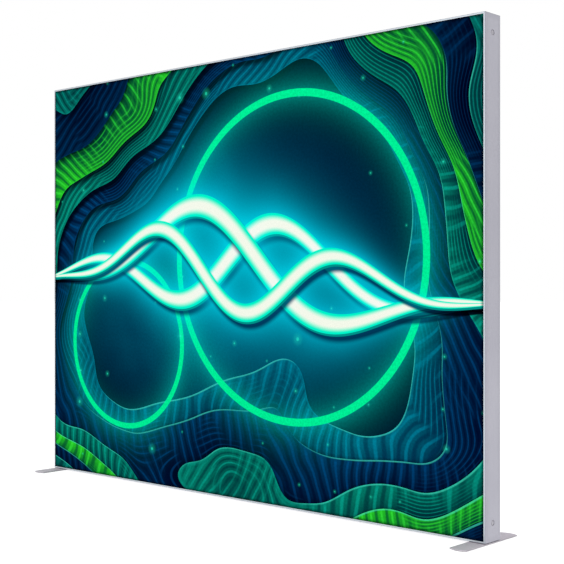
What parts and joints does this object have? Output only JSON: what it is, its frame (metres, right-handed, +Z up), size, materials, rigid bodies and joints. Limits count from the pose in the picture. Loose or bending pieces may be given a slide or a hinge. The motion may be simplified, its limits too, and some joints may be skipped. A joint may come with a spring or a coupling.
{
  "type": "lightbox display wall",
  "caption": "Free-standing lightbox wall: deep aluminium frame, stretched front print and rear lining, inner light bars, swivelling foot plates and sprung corner lock buttons.",
  "frame": {"origin": "on the floor, under the middle of the wall", "axes": "+X to the right seen from the print side, +Y towards the back, +Z up"},
  "size_m": [3, 0.425, 2.2599],
  "materials": {
    "frame_aluminium": "satin anodised, light grey with a cool tint",
    "inner_aluminium": "mill",
    "connector_nylon": "moulded, fine texture",
    "button_plastic": "satin grey",
    "spring_steel": "bright wire",
    "print_fabric": "knitted polyester, dye printed, lit from behind",
    "lining_fabric": "knitted polyester with an opaque back",
    "silicone": "translucent matt",
    "light_bar": "white tray with clear lens blocks",
    "foot_steel": "satin grey powder coat",
    "pad_rubber": "matt",
    "washer_nylon": "matt",
    "zinc_steel": "zinc plated",
    "driver_case": "satin",
    "inlet_plastic": "moulded black",
    "lead_jacket": "matt black"
  },
  "bodies": {
    "wall_frame": {"bottom_rail_left": "frame_aluminium", "bottom_rail_middle": "frame_aluminium", "bottom_rail_right": "frame_aluminium", "top_rail_left": "frame_aluminium", "top_rail_middle": "frame_aluminium", "top_rail_right": "frame_aluminium", "left_upright_lower": "frame_aluminium", "left_upright_upper": "frame_aluminium", "right_upright_lower": "frame_aluminium", "right_upright_upper": "frame_aluminium", "bottom_joiner_left": "inner_aluminium", "bottom_joiner_right": "inner_aluminium", "top_joiner_left": "inner_aluminium", "top_joiner_right": "inner_aluminium", "left_upright_joiner": "inner_aluminium", "right_upright_joiner": "inner_aluminium", "corner_connector_bottom_left": "connector_nylon", "corner_connector_bottom_right": "connector_nylon", "corner_connector_top_left": "connector_nylon", "corner_connector_top_right": "connector_nylon", "lock_spring_bottom_left": "spring_steel", "lock_spring_bottom_right": "spring_steel", "lock_spring_top_left": "spring_steel", "lock_spring_top_right": "spring_steel", "front_print": "print_fabric", "front_silicone_strip": "silicone", "rear_lining": "lining_fabric", "rear_silicone_strip": "silicone", "light_bar_bottom_left": "light_bar", "light_bar_bottom_middle": "light_bar", "light_bar_bottom_right": "light_bar", "light_bar_top_left": "light_bar", "light_bar_top_middle": "light_bar", "light_bar_top_right": "light_bar", "brace_left": "inner_aluminium", "brace_right": "inner_aluminium", "brace_saddle_bottom_left": "connector_nylon", "brace_saddle_bottom_right": "connector_nylon", "brace_saddle_top_left": "connector_nylon", "brace_saddle_top_right": "connector_nylon", "foot_bolt_left": "zinc_steel", "foot_bolt_right": "zinc_steel", "foot_nut_left": "zinc_steel", "foot_nut_right": "zinc_steel", "power_driver": "driver_case", "power_inlet": "inlet_plastic", "mains_lead": "lead_jacket", "light_lead_bottom": "lead_jacket", "light_lead_top": "lead_jacket"},
    "foot_left": {"foot_plate_left": "foot_steel", "foot_pad_left": "pad_rubber", "foot_washer_left": "washer_nylon"},
    "foot_right": {"foot_plate_right": "foot_steel", "foot_pad_right": "pad_rubber", "foot_washer_right": "washer_nylon"},
    "button_bottom_left": {"lock_button_bottom_left": "button_plastic"},
    "button_bottom_right": {"lock_button_bottom_right": "button_plastic"},
    "button_top_left": {"lock_button_top_left": "button_plastic"},
    "button_top_right": {"lock_button_top_right": "button_plastic"}
  },
  "joints": [
    {"name": "foot_left_swivel", "type": "hinge", "parent": "wall_frame", "child": "foot_left", "pos_m": [-1.457, 0, 0.0043], "axis": [0, 0, 1], "range_deg": [-90, 90]},
    {"name": "foot_right_swivel", "type": "hinge", "parent": "wall_frame", "child": "foot_right", "pos_m": [1.457, 0, 0.0043], "axis": [0, 0, 1], "range_deg": [-90, 90]},
    {"name": "button_bottom_left_press", "type": "slide", "parent": "wall_frame", "child": "button_bottom_left", "axis": [1, 0, 0], "range_m": [0, 0.0045], "stiffness_N_per_m": 800, "springref_m": -0.003, "deforming": ["lock_spring_bottom_left"]},
    {"name": "button_bottom_right_press", "type": "slide", "parent": "wall_frame", "child": "button_bottom_right", "axis": [-1, 0, 0], "range_m": [0, 0.0045], "stiffness_N_per_m": 800, "springref_m": -0.003, "deforming": ["lock_spring_bottom_right"]},
    {"name": "button_top_left_press", "type": "slide", "parent": "wall_frame", "child": "button_top_left", "axis": [1, 0, 0], "range_m": [0, 0.0045], "stiffness_N_per_m": 800, "springref_m": -0.003, "deforming": ["lock_spring_top_left"]},
    {"name": "button_top_right_press", "type": "slide", "parent": "wall_frame", "child": "button_top_right", "axis": [-1, 0, 0], "range_m": [0, 0.0045], "stiffness_N_per_m": 800, "springref_m": -0.003, "deforming": ["lock_spring_top_right"]}
  ]
}
